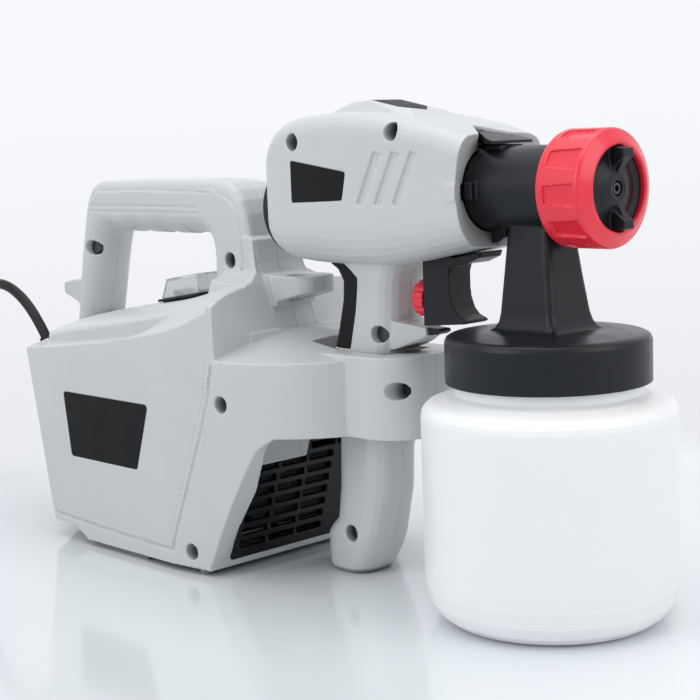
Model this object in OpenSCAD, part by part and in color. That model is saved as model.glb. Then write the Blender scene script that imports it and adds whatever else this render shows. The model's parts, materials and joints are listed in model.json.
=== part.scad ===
// Turbine paint sprayer. A spray gun with a screw-on cup stands in the holster of its turbine base.
// Millimetres. +X is the way the gun sprays and +Z is up. The pieces are drawn from the axis of the
// round front of the base. on_origin() then moves each to the middle of the whole length, on the ground.

/* [Base housing] */
// Width of the base housing
base_w = 138; // [128:1:150]
// Length of the side of the base, along its top edge
base_side_l = 159; // [150:1:175]
// Distance from the drum axis back to the flat front of the base
front_back = 7; // [4:0.5:9]
// Length that the chamfered rear corners add to the base
rear_chamfer = 32; // [24:1:38]
// How far the rear face leans in from its top edge to the ground
rear_lean = 22; // [16:1:30]
// Height of the underside of the housing over its feet
foot_h = 3; // [2:0.5:5]
// Height of the side panel at its rear top corner
side_rear_z = 109; // [104:1:114]
// Height of the side panel at its front top corner
side_front_z = 141; // [138:1:146]
// Width of the raised deck under the carry handle
deck_w = 102; // [96:1:106]
// Wall of the moulded housings
wall = 2.6; // [2:0.1:3]

/* [Drum and holster] */
// Radius of the round front of the base
drum_r = 66; // [64:0.5:67]
// Height of the underside of the drum and of the holster band
drum_low_z = 76; // [70:1:82]
// Height of the rim of the drum
drum_rim_z = 114; // [110:1:116]
// Rise of the drum's conical top, from its rim to its axis
drum_cone = 11; // [8:0.5:14]
// Reach of the holster band in front of the drum axis
holster_reach = 94; // [92:0.5:97]
// Width of the holster band
holster_w = 56; // [52:1:62]
// Height of the top of the holster band
holster_z = 117; // [116:0.5:118]
// Width of the slot that takes the grip
slot_w = 32.8; // [32.6:0.1:36]
// Start of the slot, ahead of the drum axis
slot_rear = 22.5; // [20:0.5:23]
// End of the slot, ahead of the drum axis
slot_front = 76.3; // [76:0.1:79]

/* [Carry handle] */
// Height of the top of the carry handle
carry_top_z = 202.5; // [195:0.5:215]
// Width of the carry handle
carry_w = 33; // [28:1:38]
// Thickness of the top bar
carry_bar = 29.5; // [26:0.5:31]
// Thickness of the rear upright
carry_rear = 14.8; // [14:0.2:18]
// Thickness of the front upright
carry_front = 37.5; // [34:0.5:40]

/* [Gun] */
// Height of the spray axis
axis_z = 198; // [194:0.5:202]
// Distance from the drum axis to the axis of the cup
cup_x = 165; // [163:0.5:170]
// Width of the gun body
gun_w = 62; // [56:1:68]
// Half width of the grip
grip_half = 16; // [14:0.5:16.5]
// Radius of the black cap round the air inlet
inlet_r = 25; // [22:0.5:27]
// Bore of the air inlet
inlet_bore_r = 12.5; // [10:0.5:15]

/* [Spray head] */
// Radius of the barrel
barrel_r = 19.5; // [18.5:0.25:20.5]
// Radius of the union nut
nut_r = 26.4; // [25:0.1:29]
// Number of grip flats round the union nut
nut_flats = 10; // [8:1:14]
// Radius of the cup's lid
lid_r = 47.3; // [46:0.1:50]
// Height of the lid's lower edge
lid_low_z = 110.5; // [107:0.5:111]
// Height of the lid's shoulder
lid_top_z = 132.5; // [130:0.5:133]

/* [Cup] */
// Outer diameter of the cup
cup_d = 118; // [110:1:126]
// Wall of the cup
cup_wall = 2; // [1.5:0.1:3]
// Radius of the cup's neck
neck_r = 43.6; // [42:0.1:44]

/* [Trigger] */
// Width of the trigger
trigger_w = 16; // [14:0.5:18]
// Height of the trigger's lower edge
trigger_low_z = 131.7; // [131.5:0.1:133]
// Radius of the flow knob
knob_r = 9.2; // [8:0.1:10]

/* [Mains lead] */
// Diameter of the mains lead
cord_d = 6.3; // [5:0.1:7]
// Turns in each of the two layers of the stored coil
coil_turns = 3; // [2:1:4]
// Radius of the innermost turn
coil_in_r = 25.5; // [25:0.5:30]

/* [Hidden] */
// Clearance between pieces that are assembled but do not turn
fit = 0.1;
// Radial clearance of a running fit
run = 0.06;
// Gap between pieces that move past each other
gap = 0.5;
// More than any dimension, for cutting half spaces
big = 600;

// Base
base_half = base_w / 2;
front_x = -front_back;
rear_x = front_x - base_side_l;
tail_x = rear_x - rear_chamfer;
tail_half = 34;
wall_x = 4;
deck_half = deck_w / 2;
deck_rise = 8;
tower_z = 171;
tower_half = 26.5;
slot_half = slot_w / 2;
holster_half = holster_w / 2;
holster_corner = 22;
boss_r = 7;
recess_r = 4.4;
screw_head_r = 3.8;
screw_shank_r = 1.9;

// Outer plan of the base at a height: each corner is [x, y]
function lean_at(z) = rear_lean * (side_rear_z - z) / side_rear_z;
function plan(z, inset, front) = let (
    tail = tail_x + lean_at(z) + inset,
    rear = rear_x + lean_at(z) + inset * 0.6,
    half = base_half - inset,
    near = drum_r - inset,
    narrow = tail_half - inset * 0.4
) [
    [front, -near], [front, near], [front - 26, half], [rear, half],
    [tail, narrow], [tail, -narrow], [rear, -half], [front - 26, -half]
];

// Top edge of the side panel, from the rear to the front
side_edge = [
    [tail_x - 60, side_rear_z - 3], [rear_x, side_rear_z], [-139, 111.5], [-89, 117.5], [-39, 126],
    [-20, 131.5], [-8, 137], [wall_x + 1, side_front_z], [wall_x + 40, side_front_z]
];
// Underside of the base, from the front to the rear, where it is raised
function under_edge(inset) = [
    [wall_x + 40, foot_h - 1], [-112 + inset, foot_h - 1], [-126 + inset, 9.5 + inset],
    [tail_x - 60, 9.5 + inset]
];
// Deck along its length: [x, height at its edge, rise to its middle]
deck_line = [
    [tail_x - 20, 106, 4], [-189, 111, 5], [-176, 114, 5.5], [-167, 116.5, 6], [-154, 119.3, 6.2],
    [-124, 123.8, 6.6], [-87, 129.4, 6], [-60, 133.6, 7], [-40, 137.4, 8], [-22, 142.5, 6], [-4, 146.5, 4],
    [12, 148, 3]
];
function lowered(points, drop) = [for (p = points) [p[0], p[1] - drop]];
function closed_below(points, z) = concat(points, [[points[len(points) - 1][0], z], [points[0][0], z]]);

// Gun
trigger_pivot = [112, 219];
trigger_rear = 95;
trigger_front = 110;
knob_x = 88.2;
knob_len = 6.6;
knob_z = 144.5;
barrel_rear = 121;
barrel_front = 196;
bayonet_x = 126;
bayonet_r = 24;
nut_x = 180;
nut_end = 206.5;
nut_open_r = 18.6;
thread_r = barrel_r + 1;
cap_seat = barrel_front + 0.3;
needle_r = 1.5;
tube_r = 4;
fluid_r = 6;

// Gun body sections along X: [x, lower z, upper z, half width, lower and upper corner radius]
gun_half = gun_w / 2;
gun_sections = [
    [3, axis_z - 28.5, axis_z + 19, gun_half - 6, 14, 9], [4.5, axis_z - 30.5, axis_z + 22.5, gun_half - 4.4, 15, 9.5],
    [7.5, axis_z - 32.6, axis_z + 27, gun_half - 2.8, 16, 10], [12, axis_z - 34.4, axis_z + 31, gun_half - 1.6, 17, 10],
    [19, axis_z - 36, axis_z + 34.4, gun_half - 0.8, 18, 10], [30, axis_z - 37, axis_z + 36.6, gun_half - 0.3, 19, 10],
    [50, axis_z - 37.5, axis_z + 37.6, gun_half, 19, 9.5], [65, axis_z - 37.4, axis_z + 37.4, gun_half, 18.5, 9],
    [80, axis_z - 36.8, axis_z + 36.6, gun_half, 18, 9], [93, axis_z - 35.4, axis_z + 35.2, gun_half, 17.5, 9],
    [105, axis_z - 33.5, axis_z + 33.2, gun_half, 17, 9], [125, axis_z - 29.5, axis_z + 29, gun_half - 0.5, 16, 9],
    [140, axis_z - 26, axis_z + 24.5, gun_half - 1.5, 15, 9], [152, axis_z - 23, axis_z + 20, gun_half - 3, 14, 9]
];
// Grip sections along Z: [z, rear x, front x, half width, corner radius]
grip_sections = [
    [0, 27, 51, grip_half - 3, 9], [2.5, 24.6, 53.5, grip_half - 1, 10], [12, 24, 59, grip_half, 11],
    [20, 24.2, 62.5, grip_half, 11], [24, 27.5, 63.6, grip_half, 11], [28, 31.5, 64.6, grip_half - 0.2, 11],
    [45, 33.6, 68.8, grip_half - 0.5, 11], [73, 34.5, 70.5, grip_half - 0.8, 11],
    [100, 33.8, 73, grip_half - 0.8, 11], [117, 33, 76, grip_half - 0.6, 11],
    [128, 36.5, 77.5, grip_half - 0.5, 11], [142, 40, 78.5, grip_half - 0.5, 11],
    [152, 41, 79.5, grip_half - 0.2, 11], [158, 38, 82, grip_half + 0.5, 11],
    [163, 30, 86, grip_half + 2, 12], [168, 23, 91, grip_half + 4, 12]
];

// ---------- Shared forms ----------

// Rounded rectangle as points, counter-clockwise: width w, height h, corner radius r, k points a corner
function rounded(w, h, r, k) = [
    for (c = [0:3], i = [0:k - 1]) let (
        a = 90 * (c + i / (k - 1)),
        sx = (c == 0 || c == 3) ? 1 : -1,
        sy = c < 2 ? 1 : -1
    ) [sx * (w / 2 - r) + r * cos(a), sy * (h / 2 - r) + r * sin(a)]
];

// The same with a lower and an upper corner radius
function rounded_box(w, h, low, high, k) = [
    for (c = [0:3], i = [0:k - 1]) let (
        a = 90 * (c + i / (k - 1)),
        r = c < 2 ? high : low,
        sx = (c == 0 || c == 3) ? 1 : -1,
        sy = c < 2 ? 1 : -1
    ) [sx * (w / 2 - r) + r * cos(a), sy * (h / 2 - r) + r * sin(a)]
];

// Closed skin through rings of points, each ring counter-clockwise about the way they are stacked
module loft(rings) {
    n = len(rings);
    m = len(rings[0]);
    sides = [
        for (i = [0:n - 2], j = [0:m - 1]) each [
            [i * m + j, (i + 1) * m + (j + 1) % m, i * m + (j + 1) % m],
            [i * m + j, (i + 1) * m + j, (i + 1) * m + (j + 1) % m]
        ]
    ];
    ends = [[for (j = [0:m - 1]) j], [for (j = [m - 1:-1:0]) (n - 1) * m + j]];
    polyhedron(points = [for (ring = rings) each ring], faces = concat(sides, ends), convexity = 6);
}

// Profile drawn as [x, z] points, extruded to both sides of the middle plane
module side_profile(points, width) {
    rotate([90, 0, 0])
        linear_extrude(width, center = true)
            polygon(points);
}

// Solid of revolution about the spray axis, drawn as [radius, x] points
module about_axis(points) {
    translate([0, 0, axis_z])
        rotate([0, 90, 0])
            rotate_extrude($fn = 64)
                polygon(points);
}

// Cylinder along Y from y0 to y1
module rod_y(x, z, r, y0, y1) {
    translate([x, y0, z])
        rotate([-90, 0, 0])
            cylinder(r = r, h = y1 - y0, $fn = 32);
}

// Cylinder along X from x0 to x1
module rod_x(z, r, x0, x1) {
    translate([x0, 0, z])
        rotate([0, 90, 0])
            cylinder(r = r, h = x1 - x0, $fn = 48);
}

// Moves a finished piece from the axis of the drum to the middle of the whole length
module on_origin() {
    translate([-(cup_x + max(cup_d / 2, nut_end - cup_x) + hook_x) / 2, 0, 0])
        children();
}

// The half of space on one side of the middle plane: side is -1 for the left, 1 for the right
module half_space(side) {
    translate([-big / 2, side > 0 ? 0 : -big, -big / 2])
        cube(big);
}

// ---------- Base housing ----------

// Places where the housing halves are screwed: [x, z, y of the outer surface on the left]
carry_rear_screw = [-172.5, 162.5];
carry_front_screw = [-40.5, 159.5];
base_screw_places = [
    [carry_rear_screw[0], carry_rear_screw[1], carry_w / 2],
    [carry_front_screw[0], carry_front_screw[1], carry_w / 2],
    [6.3, 92, base_half], [-20.5, 11.5, base_half], [-175, 103, base_half], [87.5, 100.5, holster_half]
];
screw_seat_y = 9;

// Leaning block between two heights, with the plan of the base
module leaning(low, high, inset, front) {
    loft([for (z = [low, high]) [for (p = plan(z, inset, front)) [p[0], p[1], z]]]);
}

module base_block(inset) {
    intersection() {
        leaning(foot_h + inset, 180, inset, front_x - inset);
        side_profile(concat(lowered(side_edge, inset), under_edge(inset)), base_w);
    }
}

module deck_block(inset) {
    half = deck_half - inset;
    intersection() {
        loft([
            for (s = deck_line) let (z = s[1] - inset) [
                for (p = [
                    [-half, 80], [half, 80], [half, z - 3], [half - 1.2, z - 1], [half - 4, z + 0.3],
                    [half - 12, z + s[2] * 0.45], [half - 24, z + s[2] * 0.8], [10, z + s[2]],
                    [-10, z + s[2]], [24 - half, z + s[2] * 0.8], [12 - half, z + s[2] * 0.45],
                    [4 - half, z + 0.3], [1.2 - half, z - 1], [-half, z - 3]
                ]) [s[0], p[0], p[1]]
            ]
        ]);
        leaning(80, 180, 9.5 + inset, -10 - inset);
    }
}

// Shoulders that lift the front ends of the side panels up to the deck:
// [x, y of the side, height at the side, height half way, height at the deck]
shoulder_line = [
    [-86, base_half, 117.6, 117.9, 118.2], [-76, base_half, 119.4, 120, 120.8],
    [-66, base_half, 121.2, 122.6, 124.6], [-56, base_half, 122.9, 126, 130],
    [-46, base_half, 124.6, 129.6, 134.2], [-38, base_half, 126.3, 132.2, 137.4],
    [-31, base_half - 0.2, 128.3, 134.4, 139.6], [-22, base_half - 1.2, 131.4, 137.6, 142.4],
    [-12, base_half - 2.2, 135.6, 141.2, 144.8], [-3, drum_r + 0.2, 139.6, 144, 146.6],
    [wall_x, drum_r - 0.3, 141.2, 145.2, 147.6]
];
module shoulder(side, inset) {
    mirror([0, side < 0 ? 1 : 0, 0])
        loft([
            for (s = shoulder_line) [
                for (p = [
                    [deck_half - 8, 100], [s[1] - inset, 100], [s[1] - inset, s[2] - 1.5 - inset],
                    [s[1] - 1.5 - inset, s[2] - inset], [base_half - 9, s[3] - inset],
                    [deck_half - 2, s[4] - inset], [deck_half - 8, s[4] + 1 - inset]
                ]) [s[0], p[0], p[1]]
            ]
        ]);
}

module drum_block(inset) {
    translate([0, 0, drum_low_z + inset])
        cylinder(r = drum_r - inset, h = drum_rim_z - drum_low_z - 2 * inset, $fn = 96);
    translate([0, 0, drum_rim_z - inset])
        cylinder(r1 = drum_r - inset, r2 = 6, h = drum_cone - 1, $fn = 96);
}

// Side wings that carry the drum down to the ground on both sides of the intake
wing_profile = [
    [front_x - 25, foot_h], [front_x - 1, foot_h], [24, drum_low_z - 11], [27, drum_low_z - 6],
    [32, drum_low_z - 2], [40, drum_low_z + 1], [front_x - 25, drum_low_z + 1]
];
module wings() {
    intersection() {
        difference() {
            union() {
                cylinder(r = drum_r, h = drum_low_z + 1, $fn = 96);
                leaning(0, drum_low_z + 1, 0, front_x);
            }
            intake_recess();
        }
        side_profile(wing_profile, base_w);
    }
}

// Space in front of the intake, between the wings: it narrows towards the top
module intake_recess() {
    loft([
        for (end = [[front_x, 60, 40], [45, 66, 60]]) [
            [end[0], -end[1], 0], [end[0], end[1], 0], [end[0], end[2], drum_low_z],
            [end[0], -end[2], drum_low_z]
        ]
    ]);
}

module holster_band() {
    translate([-20, 0, drum_low_z])
        linear_extrude(holster_z - drum_low_z)
            offset(holster_corner, $fn = 48)
                offset(-holster_corner)
                    translate([0, -holster_half])
                        square([holster_reach + 20, holster_w]);
}

module holster_slot(grow, low, high) {
    translate([slot_rear - grow, -slot_half - grow, low])
        cube([slot_front - slot_rear + 2 * grow, slot_w + 2 * grow, high - low]);
}

// Front wall behind the holster: its middle stands proud as a tower under the carry handle
module tower() {
    hull() {
        translate([-40, -tower_half + 6, tower_z + 0.5])
            cube([15, 2 * tower_half - 12, 1]);
        translate([-30, -tower_half, tower_z - 2.5])
            cube([13.5, 2 * tower_half, 1]);
        translate([-45, -tower_half, 149])
            cube([32, 2 * tower_half, 1]);
        translate([-45, -38, drum_rim_z])
            cube([45.5, 76, 1]);
    }
}

module front_notch(grow) {
    // The wall runs from the front corners of the sides back to the tower
    for (side = [-1, 1])
        mirror([0, side < 0 ? 1 : 0, 0])
            loft([
                for (level = [[drum_rim_z - 2, -2], [160, -19]]) [
                    [wall_x - 1 - grow, drum_r - 0.8, level[0]], [level[1] - grow, 34, level[0]],
                    [level[1] - grow, 0, level[0]], [60, 0, level[0]], [60, base_half + 4, level[0]],
                    [wall_x, base_half + 4, level[0]]
                ]
            ]);
}

// Stations along the carry handle, from the rear foot to the front foot:
// [outer point, inner point, width of the outer bevel]
carry_inner_z = carry_top_z - carry_bar;
rear_in = carry_rear - 14.8;
front_in = -24 - carry_front;
carry_stations = [
    [[-194.4, 100], [-185.6 + rear_in, 101], 2], [[-190, 120.7], [-178 + rear_in, 123], 2],
    [[-186.6, 137], [-173 + rear_in, 138], 2], [[-183.6, 152.5], [-168.8 + rear_in, 152], 2],
    [[-181, 165], [-165.2 + rear_in, 163], 2.4], [[-178.4, 177], [-162.4 + rear_in, 168.6], 3.2],
    [[-176, 187], [-158.6 + rear_in, 171.6], 4.4], [[-173.4, 194], [-155, carry_inner_z - 0.2], 5.4],
    [[-169, 199], [-151, carry_inner_z], 6], [[-163, carry_top_z - 0.7], [-147, carry_inner_z], 6.4],
    [[-152, carry_top_z], [-140, carry_inner_z], 6.4], [[-100, carry_top_z + 0.6], [-98, carry_inner_z], 6.4],
    [[-62, carry_top_z + 0.4], [-76, carry_inner_z], 6.4],
    [[-50, carry_top_z - 0.2], [front_in - 8, carry_inner_z - 0.2], 6.4],
    [[-42.5, carry_top_z - 1.6], [front_in - 4.6, carry_inner_z - 1.2], 6.4],
    [[-36, carry_top_z - 5], [front_in - 2, carry_inner_z - 3.2], 6.4],
    [[-30.8, carry_top_z - 10.5], [front_in - 0.2, carry_inner_z - 6.4], 6.4],
    [[-27.2, carry_top_z - 18], [front_in + 0.8, carry_inner_z - 11], 6.4],
    [[-25, carry_top_z - 28], [front_in + 0.8, carry_inner_z - 19], 6.4],
    [[-24, 158], [front_in, 145], 6.4], [[-24, 128], [front_in - 1, 128], 6.4]
];
// Section across the handle: a bevel outside, flat flanks and a half round inside
function carry_section(thick, bevel) = let (
    h = carry_w / 2,
    a = min(14, thick - bevel - 0.6),
    flank = [[0, h - 4.8], [0.7, h - 2.7], [bevel * 0.45, h - 1.2], [bevel, h - 0.5], [bevel + 0.1, h]]
) concat(
    [for (p = flank) [p[0], -p[1]]],
    [for (i = [0:12]) [thick - a + a * cos(15 * i - 90), h * sin(15 * i - 90)]],
    [for (i = [len(flank) - 1:-1:0]) flank[i]]
);
module carry_handle(grow) {
    loft([
        for (s = carry_stations) let (across = (s[1] - s[0]) / norm(s[1] - s[0])) [
            for (p = carry_section(norm(s[1] - s[0]) + grow, s[2]))
                [s[0][0] + p[0] * across[0], p[1], s[0][1] + p[0] * across[1]]
        ]
    ]);
}

// Pads for three fingers under the handle
module finger_pads() {
    intersection() {
        carry_handle(0.9);
        for (x = [-150, -124, -98.5])
            translate([x, -carry_w, 150])
                cube([13.6, 2 * carry_w, 33]);
    }
}

hook_x = -208;
module rear_hook() {
    side_profile([
        [-180, 124.5], [-188, 124.5], [-195, 129], [hook_x + 0.8, 133], [hook_x, 134], [hook_x, 139],
        [hook_x + 1, 140.2], [-194, 142.5], [-179, 142.5]
    ], 26);
}

lug_w = 27;
lug_hole_r = 7.5;
lug_hole_x = -2;
module lug() {
    intersection() {
        side_profile([[-16, 136.5], [-8, 138], [17, 144.6], [17, 151.4], [15.8, 152.2], [-16, 152.2]], lug_w);
        hull() {
            translate([-16, -lug_w / 2, 130])
                cube([6, lug_w, 30]);
            for (side = [-1, 1])
                translate([5, side * (lug_w / 2 - 11), 130])
                    cylinder(r = 11, h = 30, $fn = 32);
        }
    }
}

window_y0 = -54;
window_y1 = 54;
// Outline of the intake window in the front plane, as [y, z]
window_outline = [
    [-53.6, 6], [-31, 52.6], [4, 52.6], [6.6, 60.5], [11.5, 62.6], [36, 62.6], [36, 52.6], [53.6, 6]
];
module window_plug(x0, x1, shrink) {
    translate([x0, 0, 0])
        rotate([90, 0, 90])
            linear_extrude(x1 - x0)
                offset(2 - shrink, $fn = 24)
                    offset(-2)
                        polygon(window_outline);
}

switch_x = -92;
switch_len = 34;
switch_w = 23;
switch_tilt = -9;
switch_z = 134.3;
module at_switch() {
    translate([switch_x, 0, switch_z])
        rotate([0, switch_tilt, 0])
            children();
}

outlet_pos = [-88, 52];
outlet_r = 21;
outlet_bore_r = 16;
gland_pos = [-194, -28, 90];
gland_tilt = 50;
gland_r = 7;
gland_len = 20;
module at_gland() {
    translate(gland_pos)
        rotate([0, -90 + gland_tilt, 0])
            children();
}

module screw_bosses() {
    for (place = base_screw_places)
        rod_y(place[0], place[1], boss_r, -place[2], place[2]);
}

module base_solid() {
    difference() {
        union() {
            difference() {
                union() {
                    base_block(0);
                    deck_block(0);
                    shoulder(-1, 0);
                    shoulder(1, 0);
                }
                front_notch(0);
            }
            tower();
            drum_block(0);
            wings();
            holster_band();
            carry_handle(0);
            finger_pads();
            rear_hook();
            lug();
        }
        holster_slot(0, 0, 200);
        translate([lug_hole_x, 0, 137.5])
            cylinder(r = lug_hole_r, h = 30, $fn = 32);
        window_plug(front_x - 20, front_x + 5, 0);
        at_switch()
            translate([-switch_len / 2, -switch_w / 2, -12])
                cube([switch_len, switch_w, 40]);
        rod_y(outlet_pos[0], outlet_pos[1], outlet_r + fit, 40, base_half + 10);
        at_gland()
            cylinder(r = gland_r + fit, h = 60, center = true, $fn = 32);
    }
}

module base_cavity() {
    difference() {
        union() {
            base_block(wall);
            deck_block(wall);
            drum_block(wall);
            shoulder(-1, wall);
            shoulder(1, wall);
        }
        front_notch(wall);
        holster_slot(wall, 0, 200);
        translate([front_x - wall, -big / 2, 0])
            cube([big, big, drum_low_z + wall]);
        screw_bosses();
    }
}

module base_half_shell(side) {
    intersection() {
        difference() {
            base_solid();
            base_cavity();
            for (place = base_screw_places) {
                if (side < 0)
                    rod_y(place[0], place[1], recess_r, -base_half - 10, -screw_seat_y);
                rod_y(place[0], place[1], screw_shank_r + fit, -screw_seat_y - 1, 12);
            }
        }
        half_space(side);
    }
}

module base_shell_left() {
    on_origin()
    color([0.80, 0.81, 0.82])
        difference() {
            base_half_shell(-1);
            base_nameplate_block(fit);
        }
}

module base_shell_right() {
    on_origin()
    color([0.80, 0.81, 0.82])
        base_half_shell(1);
}

module base_screws() {
    on_origin()
    color([0.25, 0.25, 0.27])
        for (place = base_screw_places) {
            rod_y(place[0], place[1], screw_head_r, -screw_seat_y - 3, -screw_seat_y - 0.1);
            rod_y(place[0], place[1], screw_shank_r, -screw_seat_y - 0.2, 10);
        }
}

// Blank plate let into the left side: a trapezoid, wider at the top
plate_outline = [[-130, 86.5], [-50.5, 86.5], [-63, 50], [-125, 50]];
plate_t = 0.8;
module base_nameplate_block(grow) {
    translate([0, -base_half + plate_t, 0])
        rotate([90, 0, 0])
            linear_extrude(plate_t + 1)
                offset(2 + grow, $fn = 24)
                    offset(-2)
                        polygon(plate_outline);
}

module base_nameplate() {
    on_origin()
    color([0.10, 0.10, 0.11])
        intersection() {
            base_nameplate_block(0);
            translate([-big / 2, -base_half + 0.02, 0])
                cube([big, 20, big]);
        }
}

module base_feet() {
    on_origin()
    color([0.62, 0.63, 0.64])
        for (side = [-1, 1]) {
            // Long skid at the rear
            translate([0, side * (base_half - 10), 0])
                side_profile([[-110.6, foot_h - 0.02], [-107.5, 0], [-62, 0], [-57.5, foot_h - 0.02]], 14);
            // Stud at the front
            translate([-16, side * (base_half - 8), 0])
                cylinder(r1 = 3.6, r2 = 4.2, h = foot_h - 0.02, $fn = 32);
        }
}

// ---------- Intake ----------

slat_rows = 8;
module intake_grille() {
    pitch = 6.4;
    on_origin()
    color([0.09, 0.10, 0.11])
        difference() {
            window_plug(front_x - 3.5, front_x, fit + 0.2);
            for (row = [0:slat_rows - 1], column = [0:3]) {
                z = 11 + row * pitch;
                lean = (z - 7) * 0.30;
                left = -47 + column * 20 + lean;
                if (column == 0 || column == 1 || column == 2 || z > 50)
                    translate([front_x - 10, left, z])
                        cube([20, 18, 3.6]);
            }
        }
}

module filter_foam() {
    on_origin()
    color([0.20, 0.20, 0.21])
        translate([front_x - 14.5, -34, 19])
            cube([10.6, 68, 33]);
}

// ---------- Turbine ----------

turbine_x = -70.6;
turbine_r = 52;
fan_low_z = 66;
fan_high_z = 98;
motor_r = 37;
motor_low_z = 20;
shaft_r = 4;
module turbine_housing() {
    on_origin()
    color([0.72, 0.73, 0.74])
        translate([turbine_x, 0, 0])
            difference() {
                translate([0, 0, fan_low_z])
                    cylinder(r = turbine_r, h = fan_high_z - fan_low_z, $fn = 64);
                translate([0, 0, fan_low_z + wall])
                    cylinder(r = turbine_r - wall, h = fan_high_z - fan_low_z - 2 * wall, $fn = 64);
                translate([0, 0, fan_high_z - 5])
                    cylinder(r = 20, h = 10, $fn = 48);
                translate([0, 0, fan_low_z - 1])
                    cylinder(r = 10, h = 10, $fn = 48);
                translate([0, 20, fan_low_z + wall + 2])
                    cube([14, 40, 16]);
            }
}

blade_count = 8;
module turbine_impeller() {
    r = turbine_r - wall - 3;
    low = fan_low_z + wall + 5;
    on_origin()
    color([0.65, 0.66, 0.68])
        translate([turbine_x, 0, low])
            difference() {
                union() {
                    cylinder(r = r, h = 1.6, $fn = 64);
                    cylinder(r = 9, h = 16, $fn = 32);
                    for (i = [0:blade_count - 1])
                        rotate([0, 0, i * 360 / blade_count])
                            translate([7, -0.8, 1])
                                rotate([0, 0, 14])
                                    cube([r - 9, 1.6, 13]);
                }
                translate([0, 0, -1])
                    cylinder(r = shaft_r + 0.01, h = 30, $fn = 32);
            }
}

module motor_shaft() {
    on_origin()
    color([0.75, 0.75, 0.77])
        translate([turbine_x, 0, motor_low_z + 4])
            cylinder(r = shaft_r, h = fan_low_z + 22 - motor_low_z, $fn = 32);
}

module motor_body() {
    on_origin()
    color([0.30, 0.31, 0.33])
        translate([turbine_x, 0, motor_low_z])
            difference() {
                union() {
                    cylinder(r = motor_r, h = fan_low_z - motor_low_z - 0.1, $fn = 64);
                }
                translate([0, 0, 2])
                    cylinder(r = 9.1, h = 7.2, $fn = 48);
                translate([0, 0, 2])
                    cylinder(r = shaft_r + 1, h = 60, $fn = 32);
                translate([0, 0, fan_low_z - motor_low_z - 9])
                    cylinder(r = 9.1, h = 20, $fn = 48);
            }
}

module motor_bearings() {
    on_origin()
    color([0.6, 0.6, 0.62])
        for (z = [motor_low_z + 2.1, fan_low_z - 8.9])
            translate([turbine_x, 0, z])
                difference() {
                    cylinder(r = 9, h = 7, $fn = 48);
                    translate([0, 0, -1])
                        cylinder(r = shaft_r + run, h = 9, $fn = 32);
                }
}

module motor_mount() {
    on_origin()
    color([0.12, 0.12, 0.13])
        translate([turbine_x, 0, foot_h + wall])
            difference() {
                cylinder(r = motor_r + 5, h = motor_low_z - foot_h - wall + 8, $fn = 64);
                translate([0, 0, motor_low_z - foot_h - wall])
                    cylinder(r = motor_r + fit, h = 20, $fn = 64);
                translate([0, 0, -1])
                    cylinder(r = motor_r - 8, h = 40, $fn = 64);
            }
}

module outlet_duct() {
    // From the side of the turbine to the hose outlet
    on_origin()
    color([0.70, 0.71, 0.72])
        difference() {
            hull() {
                rod_y(outlet_pos[0], outlet_pos[1] + 2, 12, base_half - 13, base_half - 9);
                translate([turbine_x + 2, 50.5, fan_low_z + wall + 3])
                    cube([10, 2, 12]);
            }
            translate([turbine_x, 0, fan_low_z - 5])
                cylinder(r = turbine_r + 0.1, h = 60, $fn = 64);
            hull() {
                rod_y(outlet_pos[0], outlet_pos[1] + 2, 9.5, base_half - 13, base_half - 8);
                translate([turbine_x + 4, 50, fan_low_z + wall + 5])
                    cube([6, 2, 8]);
            }
        }
}

module hose_outlet() {
    on_origin()
    color([0.10, 0.10, 0.11])
        difference() {
            union() {
                rod_y(outlet_pos[0], outlet_pos[1], outlet_r, base_half - 8.5, base_half - 0.2);
                rod_y(outlet_pos[0], outlet_pos[1], outlet_r - 0.6, base_half - 1, base_half);
            }
            rod_y(outlet_pos[0], outlet_pos[1], outlet_bore_r, base_half - 7, base_half + 10);
            rod_y(outlet_pos[0], outlet_pos[1] + 1, 9, base_half - 20, base_half + 10);
        }
}

// ---------- Switch ----------

module switch_bezel() {
    on_origin()
    color([0.10, 0.10, 0.11])
        at_switch()
            difference() {
                union() {
                    translate([-switch_len / 2 + fit, -switch_w / 2 + fit, -11])
                        cube([switch_len - 2 * fit, switch_w - 2 * fit, 13]);
                    translate([-switch_len / 2 - 2, -switch_w / 2 - 2, 1.2])
                        cube([switch_len + 4, switch_w + 4, 1.6]);
                }
                translate([-switch_len / 2 + 4, -switch_w / 2 + 4, -8])
                    cube([switch_len - 8, switch_w - 8, 30]);
            }
}

rocker_w = 14;
module switch_rocker() {
    on_origin()
    color([0.06, 0.06, 0.07])
        at_switch()
            rotate([90, 0, 0])
                linear_extrude(rocker_w, center = true)
                    polygon([[-12, 1.6], [-11, 7.2], [0, 3.4], [11, 4.4], [12, -1], [6, -3.4], [-3, -4]]);
}

module switch_boot() {
    // Clear cover over the rocker, open underneath
    module cover(inset) {
        hull() {
            translate([-switch_len / 2 + inset, -switch_w / 2 + inset, 2.9])
                cube([switch_len - 2 * inset, switch_w - 2 * inset, 1]);
            translate([-switch_len / 2 + 5 + inset, -switch_w / 2 + 1 + inset, 13 - inset])
                cube([switch_len - 6 - 2 * inset, switch_w - 2 - 2 * inset, 0.8]);
        }
    }
    on_origin()
    color([0.9, 0.92, 0.92, 0.4])
        at_switch()
            difference() {
                cover(0);
                translate([0, 0, -0.5])
                    cover(0.8);
            }
}

// ---------- Mains lead ----------

module cord_gland() {
    on_origin()
    color([0.07, 0.07, 0.08])
        at_gland()
            difference() {
                union() {
                    translate([0, 0, -12])
                        cylinder(r = gland_r, h = 14, $fn = 32);
                    translate([0, 0, 2])
                        cylinder(r1 = 6.4, r2 = cord_d / 2 + 1.1, h = gland_len, $fn = 32);
                }
                translate([0, 0, -20])
                    cylinder(r = cord_d / 2 + 0.15, h = 80, $fn = 32);
            }
}

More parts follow.
